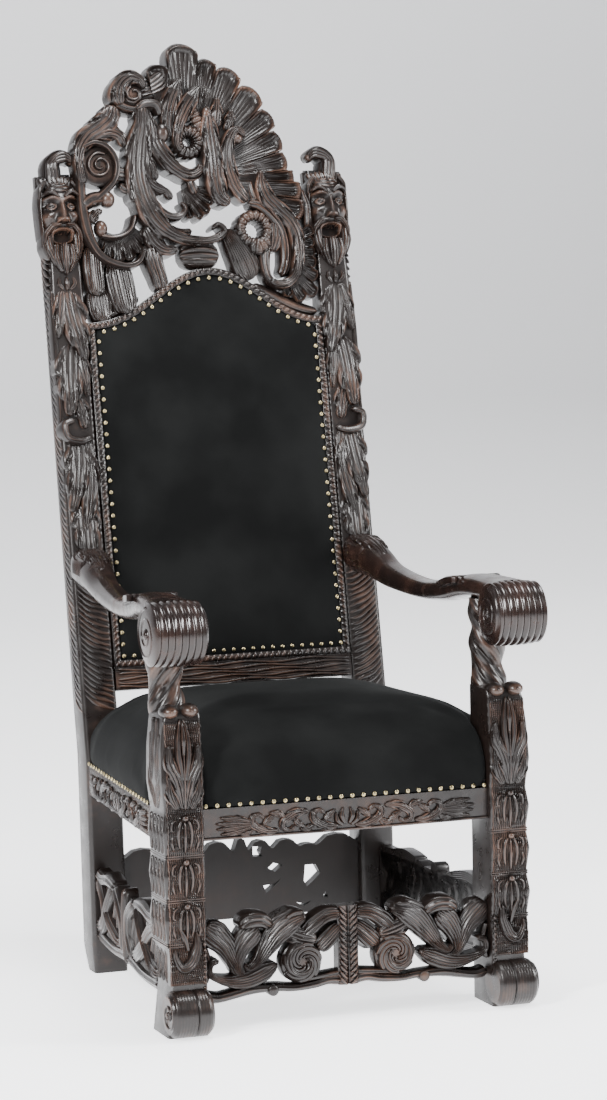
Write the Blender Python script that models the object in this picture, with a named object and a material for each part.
"""Carved walnut throne with a pierced crest, masked posts and velvet pads.

World axes: X to the sitter's left as seen from the front, Y to the back, Z up.
Lengths are metres. Carving is laid out in millimetres on the face it is cut from.
"""

import itertools
import math

import bpy
import numpy as np
from mathutils import Vector

MM = 0.001
GAP = 0.0003
FLAT_ENOUGH = 3.0

# Plan of the frame
FRONT_WIDTH = 0.676
BACK_WIDTH = 0.606
LEG_WIDTH = 0.073
LEG_DEPTH = 0.095
POST_WIDTH = 0.068
POST_DEPTH = 0.070
POST_TOP_DEPTH = 0.056
SEAT_DEPTH = 0.569

# Heights
RAIL_BOTTOM = 0.336
RAIL_TOP = 0.391
SEAT_CROWN = 0.556
ARM_TOP = 0.758
LEG_TOP = 0.570
BACK_FOOT = 0.483
BACK_BEND = 0.402

# Raked back, measured up the slope from BACK_FOOT
RAKE = math.radians(11.0)
LOWER_RAIL = 0.042
PANEL_FOOT = 0.098
ARCH_SIDE = 0.737
ARCH_RISE = 0.099
CREST_HEIGHT = 0.534
HEAD_FOOT = 0.795
HEAD_HEIGHT = 0.225
MOULDING = 0.0135
CREST_DEPTH = 0.030
ARCH_FACETS = 7
ARCH_LEAN = 0.05

# Parts of the seat and stretchers
RAIL_THICK = 0.030
RAIL_SETBACK = 0.016
STRETCHER_FOOT = 0.062
STRETCHER_HEIGHT = 0.144
STRETCHER_THICK = 0.028
BACK_BOARD_FOOT = 0.076
BACK_BOARD_HEIGHT = 0.150
BACK_BOARD_THICK = 0.022
ARM_THICK = 0.044
SCROLL_RADIUS = 0.058
SCROLL_WIDTH = 0.098
SUPPORT_RADIUS = 0.032
FOOT_RADIUS = 0.043

# Worked out from the plan
LEG_OUT = FRONT_WIDTH / 2
LEG_IN = LEG_OUT - LEG_WIDTH
POST_OUT = BACK_WIDTH / 2
POST_IN = POST_OUT - POST_WIDTH
POST_MID = POST_OUT - POST_WIDTH / 2
REAR_Y = 0.270
FRONT_Y = REAR_Y - SEAT_DEPTH
LEG_BACK = FRONT_Y + LEG_DEPTH
SUPPORT_Y = LEG_BACK
BACK_Y = 0.299
OPENING = POST_IN - GAP
PANEL_SIDE = OPENING - MOULDING

RIDGE = ((-1, 0), (0, 1), (1, 0))
SOFT_RIDGE = ((-1, 0), (-0.45, 0.85), (0.45, 0.85), (1, 0))

# Millimetres by which each strand's back stands in from the flat, in turn
TOOL_MARKS = itertools.cycle((0.0, 0.6, 1.3, 0.3, 0.9))

WALNUT = ("walnut", (0.075, 0.040, 0.024), 0.34)
VELVET = ("velvet", (0.012, 0.014, 0.013), 0.85)


def clear_scene():
    for item in list(bpy.data.objects):
        bpy.data.objects.remove(item, do_unlink=True)


def finish(name, look):
    colour, roughness = look[1], look[2]
    material = bpy.data.materials.new(name + "_" + look[0])
    material.use_nodes = True
    shader = material.node_tree.nodes["Principled BSDF"]
    shader.inputs["Base Color"].default_value = (*colour, 1.0)
    shader.inputs["Roughness"].default_value = roughness
    shader.inputs["Metallic"].default_value = 0.0
    return material


def mesh_object(name, shells, look=WALNUT):
    """One object from a list of closed shells, each a pair of points and faces."""
    points = []
    faces = []
    for shell_points, shell_faces in shells:
        start = len(points)
        points.extend(tuple(p) for p in shell_points)
        faces.extend(tuple(start + i for i in face) for face in shell_faces)
    mesh = bpy.data.meshes.new(name)
    mesh.from_pydata(points, [], faces)
    mesh.update()
    piece = bpy.data.objects.new(name, mesh)
    bpy.context.scene.collection.objects.link(piece)
    if look:
        mesh.materials.append(finish(name, look))
    return piece


def guide(name, shells):
    """A shape that only serves another one's Boolean."""
    piece = mesh_object(name, shells, None)
    piece.hide_render = True
    piece.display_type = "WIRE"
    return piece


def boolean(piece, tool, operation, solver="EXACT"):
    step = piece.modifiers.new(operation.lower(), "BOOLEAN")
    step.operation = operation
    step.object = tool
    step.solver = solver
    step.use_self = operation == "UNION" and solver == "EXACT"


def fused(name, shells, cuts=(), look=WALNUT, one_by_one=False):
    """Closed shells that overlap, joined to one body, less the cuts.

    A carving with many strands that graze each other is joined one by one, with the
    solver that stays closed there. The cuts come last, so that joints stay true.
    """
    piece = mesh_object(name, shells[:1], look)
    solver = "MANIFOLD" if one_by_one else "EXACT"
    if one_by_one:
        for number, shell in enumerate(shells[1:]):
            strand = guide(name + "_strand_" + str(number), [shell])
            boolean(piece, strand, "UNION", solver)
    elif len(shells) > 1:
        boolean(piece, guide(name + "_carving", shells[1:]), "UNION", solver)
    flatten = piece.modifiers.new("flatten", "DECIMATE")
    flatten.decimate_type = "DISSOLVE"
    flatten.angle_limit = math.radians(FLAT_ENOUGH)
    for number, cut in enumerate(cuts):
        boolean(piece, guide(name + "_cut_" + str(number), [cut]), "DIFFERENCE", solver)
    return piece


def loft(rings):
    """A closed shell through rings of equal length, wound outwards going up."""
    count = len(rings[0])
    points = [p for ring in rings for p in ring]
    faces = [tuple(reversed(range(count)))]
    for level in range(len(rings) - 1):
        low = level * count
        high = low + count
        for i in range(count):
            j = (i + 1) % count
            faces.append((low + i, low + j, high + j, high + i))
    top = (len(rings) - 1) * count
    faces.append(tuple(range(top, top + count)))
    return points, faces


def block(x0, x1, y0, y1, z0, z1, chamfer=0.0):
    """A box, with its upright edges cut off by a chamfer if one is given."""
    return loft([plan_ring(x0, x1, y0, y1, z, chamfer) for z in (z0, z1)])


def plan_ring(x0, x1, y0, y1, z, chamfer=0.0):
    if not chamfer:
        return [(x0, y0, z), (x1, y0, z), (x1, y1, z), (x0, y1, z)]
    c = chamfer
    return [
        (x0 + c, y0, z), (x1 - c, y0, z), (x1, y0 + c, z), (x1, y1 - c, z),
        (x1 - c, y1, z), (x0 + c, y1, z), (x0, y1 - c, z), (x0, y0 + c, z),
    ]


def mirrored(shell):
    points, faces = shell
    flipped = [(-p[0], p[1], p[2]) for p in points]
    return flipped, [tuple(reversed(face)) for face in faces]


def sided(shells, side):
    """Shells modelled on the +X side, or their mirror image where side is -1."""
    return list(shells) if side > 0 else [mirrored(shell) for shell in shells]


# Places: each turns (across, up, out) in millimetres into a world point.

def on_back(u, v, d):
    """Crest and stile carving: u across, v up the slope, d out of the face."""
    along = v * MM
    out = d * MM
    y = BACK_Y + along * math.sin(RAKE) - out * math.cos(RAKE)
    z = BACK_FOOT + along * math.cos(RAKE) + out * math.sin(RAKE)
    return (u * MM, y, z)


def on_crest(u, v, d):
    """As on_back, with the layout stretched to the opening and crest height."""
    across = OPENING / 0.2347
    rise = CREST_HEIGHT / 0.534
    foot = ARCH_SIDE / MM
    return on_back(u * across, foot + (v - 737) * rise, d)


def on_front(u, v, d):
    """Front stretcher carving: u across, v up from the floor, d towards the front."""
    across = (LEG_IN - GAP) / 0.2647
    up = STRETCHER_FOOT + (v - 62) * MM * STRETCHER_HEIGHT / 0.144
    return (u * MM * across, FRONT_Y + 0.020 - d * MM, up)


def smooth_path(points):
    """A fine Catmull-Rom curve through the given points."""
    p = np.array(points, dtype=float)
    p = np.vstack([2 * p[0] - p[1], p, 2 * p[-1] - p[-2]])
    fine = []
    for a, b, c, e in zip(p[:-3], p[1:-2], p[2:-1], p[3:]):
        for t in np.linspace(0, 1, 10, endpoint=False):
            fine.append(0.5 * (2 * b + (c - a) * t + (2 * a - 5 * b + 4 * c - e) * t * t
                               + (3 * b - a - 3 * c + e) * t ** 3))
    fine.append(p[-2])
    return np.array(fine)


def stations(points, pitch, bend):
    """Places along a curve, closer where it bends: (point, way, share, curvature)."""
    fine = smooth_path(points)
    edge = np.diff(fine, axis=0)
    length = np.hypot(*edge.T)
    heading = np.unwrap(np.arctan2(edge[:, 1], edge[:, 0]))
    heading = np.concatenate([heading[:1], (heading[1:] + heading[:-1]) / 2, heading[-1:]])
    run = np.concatenate([[0], np.cumsum(length)])
    cost = np.cumsum(length / pitch + np.abs(np.diff(heading)) / math.radians(bend))
    cost = np.concatenate([[0], cost])
    steps = max(1, round(cost[-1]))
    at = np.interp(np.linspace(0, cost[-1], steps + 1), cost, run)
    turn = np.interp(at, run, heading)
    bending = np.gradient(heading, run)
    return [(np.array([np.interp(s, run, fine[:, 0]), np.interp(s, run, fine[:, 1])]),
             (math.cos(a), math.sin(a)), s / run[-1], np.interp(s, run, bending))
            for s, a in zip(at, turn)]


def strip(points, widths, crowns, place, back=-30, drop=9, section=RIDGE,
          pitch=110, bend=44, closed=False):
    """A carved strand: a section swept along a curve laid on a face.

    widths and crowns are spread evenly along the curve. The edges lie drop below
    the crown, and the strand reaches down to the flat back. Inside a tight curl the
    strand is narrowed, so that it never folds over itself.
    """
    stops = stations(points, pitch, bend)
    back += next(TOOL_MARKS)
    if closed:
        stops = stops[:-1]
    rings = []
    for centre, way, share, bending in stops:
        w = np.interp(share, np.linspace(0, 1, len(widths)), widths)
        h = np.interp(share, np.linspace(0, 1, len(crowns)), crowns)
        left = np.array([-way[1], way[0]])
        ring = [(-1, back)]
        ring += [(a, h - drop * (1 - rise)) for a, rise in section]
        ring += [(1, back)]
        spots = []
        for a, d in ring:
            offset = a * w / 2
            if offset * bending > 0.8:
                offset = 0.8 / bending
            spots.append((*(centre + left * offset), d))
        rings.append([place(*spot) for spot in spots])
    return skin(rings, closed)


def skin(rings, closed=False):
    """A closed shell through rings that run from right to left over the top."""
    count = len(rings[0])
    spans = len(rings) if closed else len(rings) - 1
    faces = []
    for level in range(spans):
        low = level * count
        high = (level + 1) % len(rings) * count
        for i in range(count):
            j = (i + 1) % count
            faces.append((low + i, high + i, high + j, low + j))
    if not closed:
        last = (len(rings) - 1) * count
        faces.append(tuple(range(count)))
        faces.append(tuple(reversed(range(last, last + count))))
    return [p for ring in rings for p in ring], faces


def hoop(u, v, radius, width, crown, place, sides=12, back=-30, drop=8):
    """A closed round strand, such as the banded rings of the crest."""
    turn = np.linspace(0, 2 * math.pi, 2 * sides + 1)
    points = [(u + radius * math.cos(a), v + radius * math.sin(a)) for a in turn]
    return strip(points, [width], [crown], place, back=back, drop=drop,
                 pitch=1000, bend=360 / sides, closed=True)


def curl(u, v, outer, inner, start, sweep, count=7):
    """Points of a spiral round (u, v), from outer to inner radius, in degrees."""
    share = np.linspace(0, 1, count)
    turn = np.radians(start + sweep * share)
    radius = outer + (inner - outer) * share
    return list(zip(u + radius * np.cos(turn), v + radius * np.sin(turn)))


def button(u, v, radius, crown, place, back=-30, sides=10, dome=0.55):
    """A round boss with a domed top, as at the eye of a volute."""
    levels = ((1.0, back), (1.0, crown - radius * dome), (0.62, crown))
    rings = []
    for share, d in levels:
        turn = np.linspace(0, 2 * math.pi, sides, endpoint=False)
        rings.append([place(u + radius * share * math.cos(a),
                            v + radius * share * math.sin(a), d) for a in turn])
    return loft(rings)


def oval(u, v, d, half_u, half_v, half_d, place, sides=10, levels=5):
    """A round or oval body centred at (u, v, d)."""
    rings = []
    for level in range(1, levels + 1):
        tilt = math.pi * level / (levels + 1)
        turn = np.linspace(0, 2 * math.pi, sides, endpoint=False)
        rings.append([place(u + half_u * math.sin(tilt) * math.cos(a),
                            v + half_v * math.sin(tilt) * math.sin(a),
                            d - half_d * math.cos(tilt)) for a in turn])
    return loft(rings)


def shell_fan(u, v, lobes, place, back=-30, low=0.0, lip=13.0, columns=3,
              rows=(0.0, 0.6, 0.9, 1.0)):
    """A scallop shell: lobes that spread from a focus, each hollow with a raised lip.

    Each lobe is (middle angle, tip radius, half angle, inner radius).
    """
    spokes = []
    for middle, tip, half, inner in lobes:
        for i in range(columns):
            across = 2 * i / columns - 1
            spokes.append((middle - half * across, tip, inner, across))
    middle, tip, half, inner = lobes[-1]
    spokes.append((middle - half, tip, inner, 1))
    front = []
    for angle, tip, inner, across in spokes:
        reach = tip * (1 - 0.085 * across * across)
        way = math.radians(angle)
        column = []
        for row in rows:
            r = inner + (reach - inner) * row
            hollow = abs(across) ** 2
            rise = low + lip * row * (0.25 + 0.75 * hollow)
            if row > 0.8:
                rise = low + lip
            if row == 1.0:
                rise -= 5
            column.append((u + r * math.cos(way), v + r * math.sin(way), rise))
        front.append(column)
    count = len(rows)
    rings = []
    for column in front:
        ring = [place(*column[0][:2], back)]
        ring += [place(*spot) for spot in column]
        ring += [place(*column[-1][:2], back)]
        rings.append(ring)
    points = [p for ring in rings for p in ring]
    faces = []
    wide = count + 2
    clockwise = spokes[0][0] > spokes[-1][0]
    for level in range(len(rings) - 1):
        low_i = level * wide
        high_i = low_i + wide
        for i in range(wide):
            j = (i + 1) % wide
            quad = (low_i + i, low_i + j, high_i + j, high_i + i)
            faces.append(tuple(reversed(quad)) if clockwise else quad)
    first = tuple(range(wide))
    last = tuple(range((len(rings) - 1) * wide, len(rings) * wide))
    if clockwise:
        faces += [first, tuple(reversed(last))]
    else:
        faces += [tuple(reversed(first)), last]
    return points, faces


# Posts

def post_front(z):
    """Y of the rear post's front line: a splayed leg below, the raked back above."""
    leg = REAR_Y + 0.033 * z
    back = BACK_Y + math.tan(RAKE) * (z - BACK_FOOT)
    return max(leg, back)


def post_depth(z):
    share = min(1.0, max(0.0, (z - 0.5) / 0.8))
    return POST_DEPTH + (POST_TOP_DEPTH - POST_DEPTH) * share


def post_body():
    """The right post from its rounded toe to the back of the mask."""
    head_top = on_back(0, (HEAD_FOOT + HEAD_HEIGHT * 0.93) / MM, 0)[2]
    levels = (
        (0.0, 0.004, -0.020), (0.014, 0.0, -0.006), (0.045, 0.0, 0.004),
        (0.100, 0.003, -0.004), (BACK_BEND - 0.03, 0.0, 0.0),
        (BACK_BEND + 0.06, 0.0, 0.0), (0.640, 0.0, 0.0), (1.150, 0.005, 0.0),
        (head_top, 0.010, -0.004),
    )
    rings = []
    for z, thin, behind in levels:
        y0 = post_front(z)
        y1 = y0 + post_depth(z) + behind
        rings.append(plan_ring(POST_IN + thin * 0.3, POST_OUT - thin, y0, y1, z, 0.009))
    return loft(rings)


def mask(place):
    """A grotesque bearded mask: brow, nose, moustache, beard and side locks."""
    foot = HEAD_FOOT / MM
    size = HEAD_HEIGHT / 0.225

    def face(u, v, d):
        return place(u, foot + v * size, d)

    shells = [oval(0, 156, -24, 38, 69, 38, face, sides=8, levels=4)]

    def lock(points, widths, crowns, drop, back):
        return strip(points, widths, crowns, face, drop=drop, back=back, bend=75)

    for side in (-1, 1):
        shells.append(lock([(3 * side, 172), (18 * side, 184), (35 * side, 176)],
                           [10, 13, 8], [16, 17, 8], 8, -20))
        shells.append(lock([(2 * side, 126), (18 * side, 121), (31 * side, 98)],
                           [9, 12, 5], [17, 15, 6], 7, -20))
        shells.append(lock([(29 * side, 208), (36 * side, 168), (32 * side, 104)],
                           [14, 12, 10], [-6, -4, -2], 8, -48))
        shells.append(lock([(24 * side, 112), (22 * side, 72), (9 * side, 38)],
                           [16, 26, 14], [4, 9, 7], 7, -40))
    shells.append(lock([(0, 178), (0, 148), (0, 131)], [9, 11, 21], [9, 17, 20], 9, -20))
    shells.append(lock([(-11, 99), (0, 95), (11, 99)], [6, 8, 6], [12, 14, 12], 5, -20))
    shells.append(lock([(0, 92), (0, 60), (0, 32)], [22, 28, 14], [11, 13, 10], 7, -40))
    return shells


def mask_crest(place):
    """The lock of hair that stands on the mask and curls over towards the middle."""
    foot = HEAD_FOOT / MM

    def top(u, v, d):
        return place(u, foot + v * HEAD_HEIGHT / 0.225, d)

    sweep = [(6, 205), (8, 230), (7, 250), (-7, 263), (-21, 262), (-32, 253)]
    return [strip(sweep, [48, 38, 36, 29, 23, 16], [-4, -8, -4, -2, -2, -4], top,
                  pitch=17, drop=8, back=-46, section=SOFT_RIDGE)]


def stile_leaves(place):
    """Overlapping feather leaves down the face of the stile, with a curled knob."""
    shells = []
    leaves = (
        ([(0, 800), (-4, 745), (-16, 690), (-22, 672)], [50, 60, 38, 14], [2, 6, 12, 10]),
        ([(8, 798), (16, 740), (22, 700)], [24, 26, 10], [4, 8, 8]),
        ([(0, 690), (4, 640), (10, 590), (12, 565)], [54, 58, 44, 20], [1, 6, 11, 9]),
        ([(-14, 690), (-16, 640), (-20, 600)], [20, 24, 8], [4, 8, 7]),
        ([(2, 520), (6, 470), (16, 420), (26, 380)], [50, 54, 32, 12], [1, 7, 11, 9]),
        ([(-12, 520), (-14, 450), (0, 390), (18, 345)], [22, 30, 32, 12], [1, 5, 9, 8]),
        ([(0, 405), (-2, 365), (0, 332)], [40, 56, 50], [1, 6, 9]),
    )
    for points, widths, crowns in leaves:
        shells.append(strip(points, widths, crowns, place, drop=6, back=-24))
    shells.append(strip([(-24, 520), (-2, 515), (22, 522), (26, 545), (8, 552)],
                        [10, 14, 14, 14, 10], [8, 14, 17, 17, 14], place,
                        drop=6, back=-24))
    return shells


def rear_posts():
    middle = POST_MID / MM

    def place(u, v, d):
        return on_back(middle + u, v, d)

    shells = [post_body()] + mask(place) + mask_crest(place) + stile_leaves(place)
    beside = block(0.0, POST_IN, REAR_Y - POST_DEPTH, BACK_Y + CREST_HEIGHT, -POST_DEPTH,
                   BACK_FOOT + ARCH_SIDE + CREST_HEIGHT)
    for side, name in ((-1, "rear_post_left"), (1, "rear_post_right")):
        fused(name, sided(shells, side), sided([beside], side), one_by_one=True)


# Back

def arch(u):
    """Height up the slope of the arch over the panel, in mm, at u mm from the middle.

    The carver set its top a little to the right.
    """
    share = max(-1.0, min(1.0, u * MM / OPENING))
    share -= ARCH_LEAN * (1 - share * share)
    return (ARCH_SIDE + ARCH_RISE * math.cos(math.pi / 2 * share) ** 2.3) / MM


def arch_stops(half):
    """Places across the panel at which the arch is faceted, in mm."""
    return [half * math.sin(math.pi / 2 * i / ARCH_FACETS)
            for i in range(-ARCH_FACETS, ARCH_FACETS + 1)]


def arch_moulding():
    deep = MOULDING / MM
    back = -CREST_DEPTH / MM
    rings = []
    for u in arch_stops((PANEL_SIDE - GAP) / MM):
        rings.append(arch_section(u, deep, back))
    edge = OPENING / MM
    rings.insert(0, arch_section(-edge, deep, back))
    rings.append(arch_section(edge, deep, back))
    return skin(rings)


def arch_section(u, deep, back):
    top = arch(u)
    foot = top - deep
    return [on_back(u, v, d) for v, d in (
        (foot, back), (foot, 1), (foot + 0.3 * deep, 5), (top - 0.3 * deep, 5),
        (top, 1), (top, back))]


def crest():
    """The pierced crest: one shell, the leaf scrolls, rings and straps round it."""
    back = -CREST_DEPTH / MM

    def leaf(points, widths, crowns, **more):
        more.setdefault("back", back)
        more.setdefault("bend", 56)
        return strip(points, widths, crowns, on_crest, **more)

    lobes = (
        (102.5, 232, 6, 150), (88.5, 268, 8, 145), (75.8, 245, 4.7, 125),
        (64, 243, 7, 110), (49, 234, 8, 90), (34.5, 222, 6.5, 80),
        (21.5, 214, 6.5, 80), (9.5, 211, 5.5, 80), (1, 219, 3, 85),
        (-6.5, 234, 4.5, 90), (-16, 243, 5, 105),
    )
    shells = [arch_moulding()]
    shells.append(shell_fan(-15, 1005, lobes, on_crest, back=back))
    # top left: hollow wall, hood with its volute
    shells.append(leaf([(-36, 1216), (-62, 1194), (-90, 1182), (-112, 1178)], [34, 56, 44, 34],
                       [6, 6, 6, 6]))
    shells.append(leaf([(-88, 1182), (-99, 1198), (-118, 1203), (-135, 1192), (-142, 1172),
                       (-138, 1152)], [12, 24, 30, 36, 40, 38], [16, 22, 24, 20, 18, 14]))
    shells.append(button(-111, 1172, 20, 14, on_crest, back))
    shells.append(leaf([(-146, 1160), (-122, 1149), (-98, 1146)], [30, 28, 24], [8, 10, 10]))
    # left: acanthus down to the big volute
    shells.append(leaf([(-152, 1150), (-165, 1124), (-186, 1106), (-208, 1092), (-226, 1066),
                       (-229, 1034), (-223, 1000)], [40, 48, 46, 40, 24, 20, 22],
                       [16, 20, 18, 16, 17, 17, 12]))
    shells.append(leaf([(-206, 1084), (-186, 1094), (-162, 1098), (-144, 1090), (-134, 1070)],
                       [14, 26, 34, 28, 12], [12, 16, 18, 16, 10]))
    shells.append(leaf([(-222, 1070), (-196, 1079), (-170, 1068), (-156, 1040), (-162, 1008),
                       (-184, 984), (-214, 960)], [9, 12, 14, 14, 14, 15, 16],
                       [18, 20, 20, 20, 20, 19, 16]))
    shells.append(button(-190, 1034, 38, 8, on_crest, back, sides=12, dome=0.15))
    shells.append(leaf(curl(-189, 1035, 25, 7, 60, 400, 9), [8, 9, 8], [14, 16, 18], pitch=15,
                       drop=6, back=back / 2))
    shells.append(leaf([(-162, 1022), (-138, 1018), (-116, 1026)], [34, 30, 28], [8, 9, 8]))
    shells.append(leaf([(-152, 1000), (-138, 990), (-122, 996)], [16, 20, 22], [10, 10, 8]))
    # left: C scroll with a ball, and the ribbed fan inside it
    shells.append(leaf([(-226, 1020), (-228, 975), (-226, 930), (-218, 892), (-200, 862),
                       (-172, 846), (-146, 842), (-126, 850), (-112, 872)],
                       [20, 20, 24, 24, 19, 16, 15, 13, 9], [10, 12, 14, 18, 20, 20, 20, 18, 14]))
    shells.append(leaf([(-228, 958), (-208, 971), (-182, 973)], [26, 27, 27], [14, 18, 18]))
    shells.append(oval(-179, 970, 4, 15, 17, 18, on_crest, sides=9, levels=4))
    shells.append(leaf([(-216, 926), (-204, 943), (-190, 950)], [24, 22, 10], [12, 14, 12]))
    shells.append(oval(-196, 914, 4, 13, 17, 18, on_crest, sides=8, levels=4))
    shells.append(leaf([(-200, 902), (-176, 897), (-154, 901), (-137, 914), (-127, 940)],
                       [15, 13, 12, 14, 16], [17, 17, 17, 17, 16]))
    fan = [(309, 84, 7, 46), (295, 94, 7, 46), (281, 102, 7, 46), (267, 104, 7, 46),
           (253, 98, 7, 46), (240, 86, 6, 46)]
    shells.append(shell_fan(-160, 950, fan, on_crest, back=back, low=-2, lip=9, columns=2,
                  rows=(0.0, 0.5, 1.0)))
    # left: drapery leaves that hang over the arch
    shells.append(leaf([(-213, 884), (-214, 835), (-212, 788)], [40, 42, 36], [4, 7, 11],
                       section=SOFT_RIDGE))
    shells.append(leaf([(-168, 852), (-165, 808), (-162, 768)], [58, 56, 46], [2, 6, 11],
                       section=SOFT_RIDGE))
    shells.append(leaf([(-207, 802), (-207, 772), (-205, 748)], [54, 56, 46], [-2, 1, 5],
                       section=SOFT_RIDGE))
    # middle: the long S acanthus and its side leaves
    shells.append(leaf([(-94, 1150), (-100, 1110), (-110, 1065), (-115, 1020), (-108, 975),
                       (-94, 938), (-70, 908), (-36, 890), (4, 886), (34, 892), (49, 906),
                       (38, 918), (24, 909)], [34, 40, 50, 54, 54, 56, 52, 38, 26, 20, 17, 13, 8],
                       [14, 18, 19, 20, 20, 20, 22, 22, 22, 22, 20, 16, 14], section=SOFT_RIDGE))
    shells.append(leaf([(-108, 918), (-94, 888), (-72, 870), (-46, 872)], [30, 36, 30, 12],
                       [12, 15, 15, 14]))
    shells.append(leaf([(-108, 1142), (-90, 1153), (-68, 1150), (-58, 1130)], [18, 20, 22, 20],
                       [16, 18, 18, 14]))
    shells.append(leaf([(-86, 1138), (-81, 1108), (-78, 1076)], [22, 30, 24], [10, 14, 14]))
    shells.append(oval(-59, 1097, 2, 14, 20, 16, on_crest, sides=8, levels=4))
    shells.append(leaf([(-80, 1100), (-66, 1060), (-42, 1029), (-14, 1014), (8, 1021), (13, 1036)],
                       [44, 40, 36, 30, 24, 14], [8, 14, 18, 18, 16, 12]))
    shells.append(leaf([(-98, 1064), (-89, 1034), (-77, 1006)], [18, 28, 14], [12, 15, 13]))
    shells.append(leaf([(-106, 1016), (-84, 992), (-62, 982), (-50, 968)], [24, 26, 22, 12],
                       [14, 16, 16, 13]))
    shells.append(leaf([(-98, 980), (-83, 954), (-60, 936), (-38, 935), (-26, 949), (-34, 962)],
                       [22, 20, 18, 16, 13, 9], [12, 16, 18, 19, 18, 16]))
    shells.append(leaf([(-86, 932), (-58, 914), (-34, 906), (-12, 908)], [16, 18, 16, 14],
                       [6, 8, 8, 4]))
    # banded ring with twin leaves above it
    shells.append(hoop(-9, 1079, 21, 25, 16, on_crest, back=back))
    shells.append(leaf([(20, 1186), (5, 1166), (-13, 1140), (-27, 1110), (-33, 1080), (-26, 1058)],
                       [10, 34, 34, 24, 18, 12], [18, 24, 24, 22, 20, 16]))
    shells.append(leaf([(-16, 1202), (-28, 1180), (-40, 1152), (-46, 1118), (-43, 1088)],
                       [10, 36, 38, 32, 18], [16, 22, 20, 14, 12]))
    shells.append(leaf([(4, 1146), (11, 1122), (19, 1096)], [22, 28, 22], [14, 17, 16]))
    shells.append(oval(30, 1132, 8, 9, 14, 12, on_crest, sides=6, levels=3))
    # tall leaf and the curled one beside it
    shells.append(leaf([(32, 1146), (33, 1100), (36, 1050), (38, 1005), (46, 972), (64, 956)],
                       [16, 34, 38, 42, 42, 26], [18, 20, 22, 22, 20, 16], section=SOFT_RIDGE))
    shells.append(leaf([(104, 1086), (90, 1099), (74, 1088), (66, 1055), (67, 1022), (76, 992),
                       (90, 972), (101, 962)], [14, 18, 22, 26, 28, 28, 26, 20],
                       [22, 24, 24, 22, 20, 20, 18, 14]))
    shells.append(oval(89, 1082, 8, 12, 11, 14, on_crest, sides=8, levels=3))
    shells.append(leaf([(56, 1165), (52, 1138), (47, 1106)], [12, 28, 24], [14, 18, 16]))
    shells.append(leaf([(84, 1142), (78, 1120), (71, 1098)], [12, 24, 20], [13, 16, 14]))
    # shell fragment below the ring
    fan = [(-22, 68, 8, 16), (-37, 78, 7, 16), (-51, 84, 7, 16), (-65, 84, 7, 16), (-79, 76, 7, 16)]
    shells.append(shell_fan(-30, 1003, fan, on_crest, back=back, low=0, lip=10, columns=2,
                  rows=(0.0, 0.5, 1.0)))
    shells.append(leaf([(-12, 1008), (-7, 992), (0, 978)], [18, 22, 22], [12, 12, 10]))
    # right: the great leaf scroll, its inner band and hollow
    shells.append(leaf([(132, 1022), (131, 992), (140, 966), (160, 944), (182, 919), (194, 886),
                       (194, 850), (185, 818), (168, 801), (148, 799), (133, 808)],
                       [8, 32, 36, 36, 34, 30, 26, 24, 20, 18, 14],
                       [12, 18, 20, 20, 20, 20, 20, 20, 20, 20, 16]))
    shells.append(leaf([(104, 960), (124, 955), (146, 936), (164, 908), (172, 876), (170, 842),
                       (160, 816)], [20, 26, 28, 28, 26, 24, 20], [12, 14, 16, 14, 10, 8, 8]))
    shells.append(leaf([(112, 1004), (116, 978), (124, 956)], [18, 24, 24], [4, 6, 8]))
    shells.append(leaf([(151, 920), (150, 892), (144, 864)], [34, 40, 28], [15, 13, 4]))
    shells.append(leaf([(132, 884), (127, 850), (130, 818), (142, 800)], [30, 26, 20, 16],
                       [10, 10, 10, 12]))
    shells.append(hoop(110, 907, 27, 22, 16, on_crest, back=back))
    shells.append(leaf([(96, 873), (118, 873), (138, 888)], [26, 32, 26], [17, 19, 17]))
    shells.append(leaf([(50, 908), (66, 884), (84, 850), (100, 812)], [24, 44, 58, 60],
                       [12, 12, 10, 5], section=SOFT_RIDGE))
    fan = [(28, 91, 8, 50), (12, 83, 8, 50), (-4, 81, 8, 50), (-20, 86, 8, 50), (-36, 99, 8, 52),
           (-51, 118, 7, 56), (-65, 112, 7, 58), (-78, 94, 6, 60)]
    shells.append(shell_fan(152, 866, fan, on_crest, back=back, low=-3, lip=9, columns=2, rows=(0.0,
                  0.5, 1.0)))
    shells.append(leaf([(213, 985), (222, 948), (222, 908)], [14, 20, 18], [6, 8, 4]))
    shells.append(leaf([(100, 800), (130, 784), (160, 768), (195, 753), (228, 746)],
                       [18, 26, 28, 26, 16], [2, 3, 3, 2, 1]))
    # blocks and straps that stand on the arch
    shells.append(leaf([(-42, 860), (-4, 862), (37, 859)], [50, 54, 52], [6, 9, 6],
                       section=SOFT_RIDGE))
    shells.append(leaf([(-101, 886), (-95, 850), (-85, 815), (-80, 795)], [44, 40, 34, 32],
                       [10, 12, 10, 4], section=SOFT_RIDGE))
    rooms = [panel_room()]
    for side in (-1, 1):
        rooms += sided([block(OPENING, OPENING + 0.1, 0.2, 0.9, 1.0, 2.0)], side)
    fused("crest", shells, rooms, one_by_one=True)


def panel_outline(grow):
    """The arched outline of the velvet panel, or of the room for it, in mm."""
    foot = PANEL_FOOT / MM
    half = PANEL_SIDE / MM - GAP / MM
    top = MOULDING / MM + GAP / MM - grow
    outline = [(half + grow, foot - grow)]
    outline += [(u + grow * (1 if u > 0 else -1) * (abs(u) > half - 1), arch(u) - top)
                for u in reversed(arch_stops(half))]
    outline += [(-half - grow, foot - grow)]
    return outline


def panel_room():
    outline = panel_outline(GAP / MM)
    return loft([[on_back(u, v, d) for u, v in outline] for d in (-80, 80)])


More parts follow.
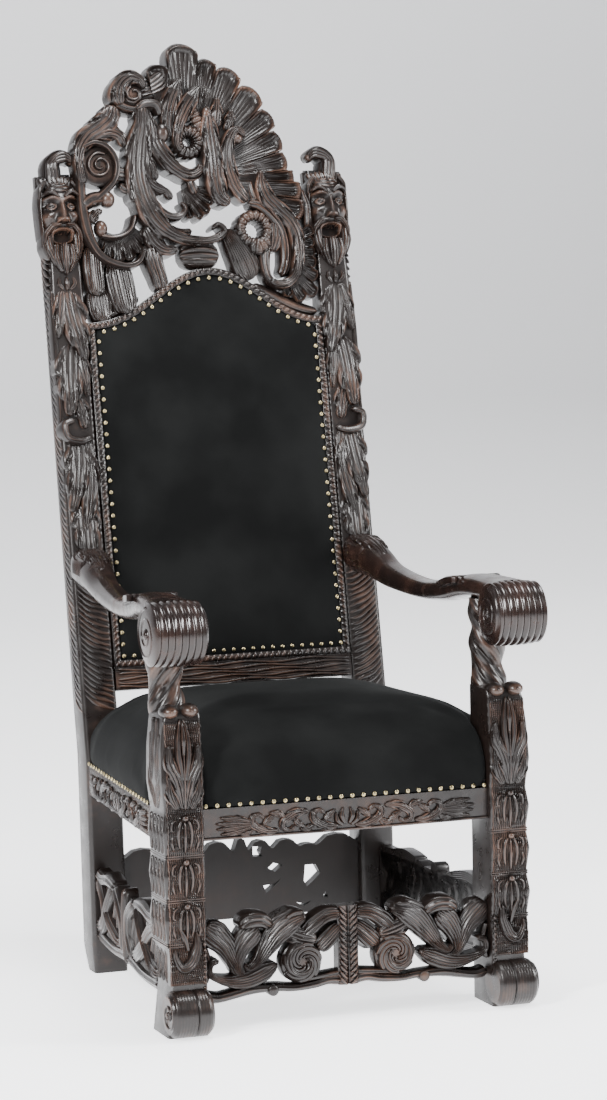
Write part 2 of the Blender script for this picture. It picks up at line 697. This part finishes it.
def back_panel():
    """Velvet panel under the arch, its two side mouldings and the lower rail."""
    foot = PANEL_FOOT / MM
    deep = MOULDING / MM
    clear = GAP / MM
    side_top = ARCH_SIDE / MM - deep - clear

    for side, name in ((-1, "back_moulding_left"), (1, "back_moulding_right")):
        middle = (OPENING + PANEL_SIDE) / 2 / MM
        shell = strip([(middle, foot + clear), (middle, side_top)], [deep], [5], on_back,
                      back=-24, drop=4, section=SOFT_RIDGE, pitch=2000)
        mesh_object(name, sided([shell], side))

    outline = panel_outline(-clear)
    centre = (foot + side_top) / 2
    rings = []
    for shrink, d in ((1.0, -20), (1.0, 0), (0.965, 5), (0.80, 9)):
        rings.append([on_back(u * shrink, centre + (v - centre) * shrink, d)
                      for u, v in outline])
    mesh_object("back_pad", [loft(rings)], VELVET)

    span = OPENING / MM
    low = LOWER_RAIL / MM
    face = (low + foot - deep) / 2
    rail = strip([(-span, face), (span, face)], [foot - deep - low], [3], on_back,
                 back=-28, drop=2, section=SOFT_RIDGE, pitch=2000)
    bead = strip([(-span, foot - deep / 2), (span, foot - deep / 2)], [deep + 0.4], [5],
                 on_back, back=-24, drop=4, section=SOFT_RIDGE, pitch=2000)
    fused("back_rail_lower", [rail, bead])


# Front legs and arms

def turned(x, rings_yz, sides=12):
    """A closed round body along X: (x, y, z, radius) for each ring."""
    rings = []
    for along, y, z, radius in rings_yz:
        turn = np.linspace(0, 2 * math.pi, sides, endpoint=False)
        rings.append([(x + along, y + radius * math.cos(a), z + radius * math.sin(a))
                      for a in turn])
    return loft(rings)


def front_leg():
    """The right front leg: scroll foot, three husk panels, acanthus head, support."""
    middle = (LEG_IN + LEG_OUT) / 2
    levels = []
    bottom = 0.085
    panel = (RAIL_TOP - bottom) / 4
    levels.append((0.0, 0.0, 0.0))
    levels.append((bottom, -0.010, 0.0))
    levels.append((bottom + panel * 0.55, -0.014, -0.002))
    levels.append((bottom + panel - 0.003, -0.003, 0.003))
    for i in range(1, 4):
        z = bottom + panel * i
        levels.append((z + 0.004, -0.003, 0.004))
        levels.append((z + panel * 0.55, 0.002, -0.002))
        levels.append((z + panel - 0.003, -0.003, 0.003))
    head = LEG_TOP - RAIL_TOP
    levels.append((RAIL_TOP + 0.05, 0.003, -0.003))
    levels.append((RAIL_TOP + head * 0.62, 0.001, 0.004))
    levels.append((LEG_TOP - 0.016, -0.005, 0.008))
    levels.append((LEG_TOP - 0.004, -0.016, 0.016))
    rings = []
    for z, out, front in levels:
        rings.append(plan_ring(LEG_IN, LEG_OUT + out, FRONT_Y + front, LEG_BACK, z))
    shells = [loft(rings)]

    # scroll foot: a roll across the front, narrowed at the middle by its groove
    half = LEG_WIDTH / 2 + 0.001
    roll = []
    for share, grow in ((-1, 0.82), (-0.75, 1.0), (-0.1, 1.0), (0, 0.94), (0.1, 1.0),
                        (0.75, 1.0), (1, 0.82)):
        roll.append((half * share, FRONT_Y + 0.002, FOOT_RADIUS - 0.001,
                     (FOOT_RADIUS - 0.002) * grow))
    shells.append(turned(middle, roll, 10))

    # husks: a bellflower on each of the three panels, a ball above it
    def on_leg(u, v, d):
        return (middle + u * MM, FRONT_Y - d * MM, v * MM)

    for i in (1, 2, 3):
        foot = (bottom + panel * i) / MM
        high = panel / MM
        shells.append(strip([(0, foot + high * 0.80), (0, foot + high * 0.45),
                             (0, foot + high * 0.08)], [12, 40, 30], [5, 9, 5], on_leg,
                            pitch=24, drop=5, back=-12))
        shells.append(oval(0, foot + high * 0.86, -4, 7, 6, 11, on_leg, sides=6, levels=2))
    shells.append(strip([(-17, 182), (-17, 158), (-6, 130), (10, 124), (21, 148)],
                        [6, 14, 20, 20, 6], [4, 8, 11, 10, 4], on_leg, drop=5, back=-12))
    low = RAIL_TOP / MM
    tall = (LEG_TOP - RAIL_TOP) / MM
    shells.append(strip([(0, low + 8), (0, low + tall * 0.5), (0, low + tall * 0.86)],
                        [26, 22, 8], [8, 9, 2], on_leg, drop=6, back=-16))
    for side in (-1, 1):
        shells.append(strip([(14 * side, low + 6), (22 * side, low + tall * 0.42),
                             (17 * side, low + tall * 0.8)], [20, 20, 8], [3, 5, 0],
                            on_leg, drop=5, back=-16))

    # twin balls over the panel
    for side in (-1, 1):
        shells.append(oval(18 * side, (LEG_TOP - 0.006) / MM, -22, 17, 13, 24, on_leg,
                           sides=6, levels=3))

    # arm support: three swelling turns that rise behind the leg's head to the arm
    foot = LEG_TOP - 0.070
    rise = ARM_TOP - ARM_THICK + 0.006 - foot
    rings = []
    for share, grow, ahead in ((0, 0.70, 0.024), (0.16, 0.92, 0.014), (0.33, 1.06, 0.004),
                               (0.46, 0.86, 0.0), (0.62, 1.08, 0.0), (0.76, 0.88, 0.0),
                               (0.90, 1.10, 0.0), (1.0, 1.0, 0.0)):
        radius = SUPPORT_RADIUS * grow
        turn = np.linspace(0, 2 * math.pi, 8, endpoint=False)
        rings.append([(middle + radius * math.cos(a),
                       SUPPORT_Y - ahead + radius * math.sin(a), foot + rise * share)
                      for a in turn])
    shells.append(loft(rings))
    return shells


def arm_line():
    """Side profile of the right arm: (x, y, z, half width, half height) stations."""
    root_y = post_front(ARM_TOP) + 0.020
    scroll_y = FRONT_Y + 0.004
    scroll_z = ARM_TOP - SCROLL_RADIUS
    run = root_y - scroll_y
    near = POST_MID + 0.002
    far = (LEG_IN + LEG_OUT) / 2 + 0.012
    top = ARM_TOP
    stations = []
    for share, z, half, deep in (
        (0.0, top - 0.004, 0.034, 0.036), (0.13, top - 0.016, 0.030, 0.030),
        (0.25, top - 0.036, 0.025, 0.022), (0.45, top - 0.047, 0.025, 0.018),
        (0.62, top - 0.040, 0.028, 0.020), (0.80, top - 0.022, 0.036, 0.022),
    ):
        stations.append((near + (far - near) * share, root_y - run * share, z, half, deep))
    return stations, far, scroll_y, scroll_z


def arm():
    """The right arm: a smooth dipping rail that ends in a ridged scroll hand."""
    stations, far, scroll_y, scroll_z = arm_line()
    rings = []
    for x, y, z, half, deep in stations:
        ring = []
        for a in np.linspace(0, 2 * math.pi, 8, endpoint=False) + math.pi / 8:
            ring.append((x - half * math.cos(a) * 1.04, y, z + deep * math.sin(a) * 1.04))
        rings.append(ring)
    rings.append([(far + (p[0] - far) * 1.25, scroll_y + 0.012, p[2]) for p in rings[-1]])
    shells = [loft([list(reversed(ring)) for ring in rings])]

    # scroll hand: ridges run round the roll, so each is a ring of it
    ridges = 8
    half = SCROLL_WIDTH / 2
    roll = []
    for i in range(2 * ridges + 1):
        share = i / ridges - 1
        swell = 1 - 0.10 * share * share
        ridge = 1.0 if i % 2 else 0.95
        roll.append((half * share, scroll_y, scroll_z, SCROLL_RADIUS * swell * ridge))
    shells.append(turned(far, roll, 12))
    # carved leaf over the root
    root = stations[0]

    def on_root(u, v, d):
        return (root[0] - u * MM, root[1] - v * MM, root[2] + d * MM)

    shells.append(strip([(0, 5), (0, 65), (0, 114)], [46, 40, 10], [38, 28, 8], on_root,
                        pitch=46, drop=8, back=0))
    return shells


def front_legs_and_arms():
    leg = front_leg()
    rest = arm()
    for side, end in ((-1, "left"), (1, "right")):
        fused("front_leg_" + end, sided(leg, side), sided(leg_cuts(), side))
        fused("arm_" + end, sided(rest, side), sided(arm_cuts(), side), one_by_one=True)


def leg_cuts():
    """What is cut off a front leg: all below the floor, and the arm's room."""
    floor = block(LEG_IN - 0.05, LEG_OUT + 0.05, FRONT_Y - 0.1, LEG_BACK + 0.1, -0.1, 0.0)
    beside = block(0.0, LEG_IN, FRONT_Y - 0.1, LEG_BACK + 0.1, -0.1, RAIL_TOP)
    return [floor, beside] + arm_room()


def arm_room():
    """The arm's own shape, a little larger, cut out of the support's top."""
    stations, far, scroll_y, scroll_z = arm_line()
    half = SCROLL_WIDTH / 2 + GAP
    radius = SCROLL_RADIUS + GAP
    roll = [(-half, scroll_y, scroll_z, radius), (half, scroll_y, scroll_z, radius)]
    near = stations[-1]
    under = near[2] - near[4] * 1.04 * math.cos(math.pi / 8) - GAP
    over = block(LEG_IN - 0.08, LEG_OUT + 0.08, FRONT_Y - 0.1, LEG_BACK + 0.12, under, 1.0)
    return [turned(far, roll, 12), over]


def arm_cuts():
    """The arm stops a hair in front of the stile, along its slope."""
    z0 = ARM_TOP - 0.1
    z1 = ARM_TOP + 0.1
    rings = []
    for z in (z0, z1):
        y = post_front(z) - GAP
        rings.append(plan_ring(POST_IN - 0.05, POST_OUT + 0.1, y, y + 0.1, z))
    return [loft(rings)]


# Seat

def rail_edge(side_share, inset=0.0):
    """Outer x of the seat at a share of the way from front legs to rear posts."""
    front = LEG_OUT - 0.004
    back = POST_OUT - 0.002
    return front + (back - front) * side_share - inset


def seat_rails():
    front_y = FRONT_Y + RAIL_SETBACK
    half = LEG_IN - GAP
    z0, z1 = RAIL_BOTTOM, RAIL_TOP
    mesh_object("seat_rail_front", [block(-half, half, front_y, front_y + RAIL_THICK,
                                          z0, z1)])
    rear = post_front(z0) - GAP
    for side, name in ((-1, "seat_rail_left"), (1, "seat_rail_right")):
        rings = []
        for z in (z0, z1):
            back_y = post_front(z) - GAP
            share = (back_y - LEG_BACK) / (rear - LEG_BACK)
            near = rail_edge(0)
            far = rail_edge(share)
            rings.append([(near - RAIL_THICK, LEG_BACK + GAP, z),
                          (near, LEG_BACK + GAP, z), (far, back_y, z),
                          (far - RAIL_THICK, back_y, z)])
        mesh_object(name, sided([loft(rings)], side))
    back_y = post_front(z1) + 0.008
    mesh_object("seat_rail_back", [block(-OPENING, OPENING, back_y, back_y + RAIL_THICK,
                                         z0, z1)])


def seat_cushion():
    """Overstuffed seat: steep velvet sides and a low crown, notched round the posts."""
    front_y = FRONT_Y + RAIL_SETBACK - 0.002
    back_y = post_front(RAIL_TOP) + 0.008 + RAIL_THICK
    middle_y = (front_y + back_y) / 2
    half_depth = (back_y - front_y) / 2
    base = RAIL_TOP + GAP
    rise = SEAT_CROWN - base
    levels = ((0.0, 0.0), (0.30, -0.004), (0.50, 0.006), (0.66, 0.024), (0.79, 0.062),
              (0.90, 0.130), (0.98, 0.210))
    rings = []
    for share, inset in levels:
        ring = []
        for a in np.linspace(0, 2 * math.pi, 32, endpoint=False):
            c, s = math.cos(a), math.sin(a)
            square = 1 / max(abs(c), abs(s))
            soft = 1 / (abs(c) ** 9 + abs(s) ** 9) ** (1 / 9)
            stretch = square + (soft - square) * min(1.0, 0.5 + inset * 20)
            along = s * stretch
            across = c * stretch
            y = middle_y + along * (half_depth - inset)
            edge = rail_edge((middle_y + along * half_depth - LEG_BACK)
                             / (REAR_Y - LEG_BACK))
            ring.append((across * (edge - inset), y, base + rise * share))
        rings.append(ring)
    shells = [loft(rings)]
    cuts = []
    for side in (-1, 1):
        leg = block(LEG_IN - GAP, LEG_OUT + 0.05, front_y - 0.05, LEG_BACK + GAP,
                    base - 0.05, SEAT_CROWN + 0.05)
        support = turned_support_room()
        rings = []
        for z in (BACK_BEND - 0.035, BACK_BEND + 0.06, SEAT_CROWN + 0.05):
            y = post_front(z) - 2 * GAP
            rings.append(plan_ring(OPENING, POST_OUT + 0.05, y, y + 0.2, z))
        cuts += sided([leg, support, loft(rings)], side)
    fused("seat_cushion", shells, cuts, VELVET)


def turned_support_room():
    """Room for the foot of the arm support where it stands behind the leg's head."""
    middle = (LEG_IN + LEG_OUT) / 2
    reach = SUPPORT_RADIUS * 1.06 + GAP
    return block(middle - reach, middle + reach, FRONT_Y, SUPPORT_Y + reach,
                 LEG_TOP - 0.073, SEAT_CROWN + 0.1)


# Stretchers

def stretcher_half():
    """Right half of the front stretcher: rope post, swirl, crossing straps, foot rail."""
    back = -STRETCHER_THICK / MM + 4
    seam = GAP / MM + 0.5

    def leaf(points, widths, crowns, **more):
        more.setdefault("bend", 62)
        return strip([(-u, v) for u, v in points], widths, crowns, on_front, back=back,
                     **more)

    shells = [strip([(seam + 9.5, 62), (seam + 9.5, 202)], [19], [8], on_front, back=back,
                    section=SOFT_RIDGE, drop=5)]
    shells.append(leaf([(-14, 190), (-40, 188), (-64, 174), (-88, 152)],
                       [24, 28, 32, 26], [8, 10, 10, 6]))
    shells.append(leaf([(-12, 168), (-32, 150), (-56, 128)], [28, 34, 38], [4, 6, 6]))
    shells.append(leaf([(-58, 146), (-86, 154), (-116, 166)], [30, 40, 36], [5, 7, 5]))
    shells.append(button(87, 110, 39, 10, on_front, back, sides=12, dome=0.3))
    shells.append(leaf(curl(-87, 110, 30, 12, 80, 330, 9), [17, 15, 10], [12, 15, 16]))
    shells.append(leaf([(-78, 192), (-104, 186), (-130, 168), (-149, 145), (-166, 122),
                        (-184, 108), (-194, 116)], [18, 44, 52, 44, 32, 18, 10],
                       [12, 16, 12, 10, 12, 14, 12]))
    shells.append(leaf([(-142, 178), (-162, 191), (-186, 191), (-202, 180)],
                       [20, 28, 30, 20], [10, 18, 20, 14]))
    shells.append(leaf([(-168, 178), (-190, 156), (-204, 130), (-206, 108), (-192, 94)],
                       [44, 44, 34, 26, 18], [14, 12, 10, 10, 8]))
    shells.append(leaf([(-265, 184), (-242, 168), (-224, 148), (-214, 126), (-202, 100)],
                       [50, 52, 40, 28, 20], [4, 6, 8, 10, 10]))
    shells.append(leaf([(-240, 126), (-255, 120), (-257, 105), (-244, 94), (-214, 86),
                        (-184, 88), (-155, 99), (-130, 110)],
                       [12, 14, 16, 22, 30, 34, 34, 14], [12, 14, 14, 12, 12, 12, 12, 8]))
    shells.append(leaf([(-265, 62), (-240, 58), (-212, 62), (-180, 68), (-152, 68),
                        (-128, 67), (-98, 64), (-62, 67), (-36, 72), (-12, 70)],
                       [24, 18, 18, 20, 16, 15, 14, 16, 17, 20], [4]))
    shells.append(leaf([(-98, 75), (-60, 79), (-14, 83)], [10, 12, 14], [2]))
    shells.append(button(141, 64, 10, 8, on_front, back, sides=8))
    shells.append(leaf([(-265, 150), (-256, 118), (-265, 84)], [16, 14, 16], [2]))
    return shells


def stretchers():
    cut_x = LEG_IN - GAP
    low = STRETCHER_FOOT - 0.02
    beyond = block(cut_x, cut_x + 0.1, FRONT_Y - 0.1, FRONT_Y + 0.2, low, 0.3)
    seam = block(-0.1, GAP / 2 + 0.0002, FRONT_Y - 0.1, FRONT_Y + 0.2, low, 0.3)
    front = stretcher_half()
    for side, name in ((-1, "stretcher_front_left"), (1, "stretcher_front_right")):
        fused(name, sided(front, side), sided([beyond, seam], side), one_by_one=True)

    shells, cuts = side_stretcher()
    for side, name in ((-1, "stretcher_side_left"), (1, "stretcher_side_right")):
        fused(name, sided(shells, side), sided(cuts, side), one_by_one=True)

    scalloped_board()


def side_stretcher():
    """Right side stretcher: pierced leafwork between front leg and rear post."""
    low = STRETCHER_FOOT / MM
    high = STRETCHER_HEIGHT / MM
    rear = post_front(STRETCHER_FOOT)
    run = (rear - LEG_BACK) / MM
    near = rail_edge(0)
    far = rail_edge(1)

    def on_side(u, v, d):
        share = u / run
        x = near + (far - near) * share - 0.008 + d * MM
        return (x, LEG_BACK + u * MM, v * MM)

    back = -STRETCHER_THICK / MM + 6

    def leaf(points, widths, crowns, **more):
        spots = [(run * u, low + high * v) for u, v in points]
        return strip(spots, widths, crowns, on_side, back=back, bend=75, **more)

    shells = [
        leaf([(-0.06, 0.44), (0.25, 0.47), (0.5, 0.5), (0.75, 0.47), (1.06, 0.44)],
             [104, 112, 96, 112, 104], [-5], drop=0),
        leaf([(-0.06, 0.08), (0.25, 0.05), (0.5, 0.10), (0.75, 0.05), (1.06, 0.08)],
             [24, 20, 26, 20, 24], [4]),
        leaf([(-0.06, 0.87), (0.10, 0.86), (0.22, 0.92), (0.34, 0.88)], [29, 26, 26, 22],
             [5, 8, 10, 8]),
        leaf([(0.66, 0.88), (0.78, 0.92), (0.90, 0.86), (1.06, 0.87)], [22, 26, 26, 29],
             [8, 10, 8, 5]),
    ]
    for flip in (False, True):
        def turn(points):
            return [(1 - u, v) for u, v in points] if flip else points

        shells.append(leaf(turn([(-0.06, 0.20), (0.10, 0.28), (0.20, 0.55),
                                 (0.30, 0.86)]), [40, 34, 30, 28], [6, 8, 12, 10]))
        shells.append(leaf(turn([(0.02, 0.80), (0.12, 0.66), (0.24, 0.38),
                                 (0.38, 0.20)]), [34, 32, 34, 30], [6, 10, 10, 6]))
        shells.append(leaf(turn([(0.34, 0.88), (0.43, 0.70), (0.46, 0.45),
                                 (0.42, 0.15)]), [28, 30, 34, 28], [10, 12, 10, 6]))
    shells.append(leaf([(0.5, 0.02), (0.5, 0.5), (0.5, 0.98)], [30, 40, 24], [6, 10, 8]))
    cuts = []
    y0 = LEG_BACK + GAP
    cuts.append(block(near - 0.1, near + 0.1, y0 - 0.1, y0, 0.0, 0.3))
    rings = []
    for z in (0.0, 0.3):
        y = post_front(z) - GAP
        rings.append(plan_ring(far - 0.1, far + 0.1, y, y + 0.1, z))
    cuts.append(loft(rings))
    return shells, cuts


def scalloped_board():
    """Board between the rear legs: a scalloped top, and piercings to the right."""
    low = BACK_BOARD_FOOT
    high = BACK_BOARD_HEIGHT
    across = OPENING / 0.2347 * MM
    y = REAR_Y + 0.024
    bumps = ((-234.7, -152, 0.98), (-152, -118, 0.88), (-118, -80, 0.94), (-80, -16, 0.99),
             (-16, 14, 1.02), (14, 62, 0.97), (62, 118, 0.96), (118, 151, 0.88),
             (151, 234.7, 0.98))
    outline = [(-OPENING, low), (OPENING, low)]
    top = []
    for start, end, peak in bumps:
        for i in range(5):
            rise = 0.86 + (peak - 0.86) * math.sin(math.pi * i / 4) ** 0.5
            top.append(((start + (end - start) * (0.04 + 0.92 * i / 4)) * across, low + high * rise))
    top[0] = (-OPENING, top[0][1])
    top[-1] = (OPENING, top[-1][1])
    outline += reversed(top)

    def cut_through(outline, y0, y1):
        return loft([[(x, y1, z) for x, z in outline], [(x, y0, z) for x, z in outline]])

    piercings = (
        ((22, 0.77), (41, 0.76), (37, 0.82), (42, 0.89), (22, 0.90)),
        ((52, 0.61), (66, 0.55), (82, 0.63), (63, 0.67)),
        ((48, 0.29), (60, 0.35), (78, 0.46), (64, 0.40), (42, 0.39)),
        ((124, 0.41), (130, 0.33), (145, 0.41), (158, 0.49), (148, 0.61), (127, 0.61)),
        ((162, 0.18), (173, 0.17), (167, 0.25)),
        ((108, 0.14), (123, 0.08), (138, 0.14), (123, 0.115)),
    )
    cuts = [cut_through([(x * across, low + high * share) for x, share in hole], y - 0.05,
                        y + 0.05) for hole in piercings]
    fused("stretcher_back", [cut_through(outline, y, y + BACK_BOARD_THICK)], cuts)


def stand_over_origin():
    """Bring the middle of the whole outline over the origin."""
    bpy.context.view_layer.update()
    depsgraph = bpy.context.evaluated_depsgraph_get()
    low = Vector((1e9, 1e9, 1e9))
    high = -low
    for piece in bpy.data.objects:
        if piece.hide_render:
            continue
        seen = piece.evaluated_get(depsgraph)
        for corner in seen.bound_box:
            for k in range(3):
                low[k] = min(low[k], corner[k])
                high[k] = max(high[k], corner[k])
    for piece in bpy.data.objects:
        piece.location.y -= (low[1] + high[1]) / 2
        piece.location.z -= low[2]
    print("box", [round(v, 4) for v in low], [round(v, 4) for v in high])


def main():
    clear_scene()
    rear_posts()
    crest()
    back_panel()
    seat_rails()
    seat_cushion()
    front_legs_and_arms()
    stretchers()
    stand_over_origin()


main()
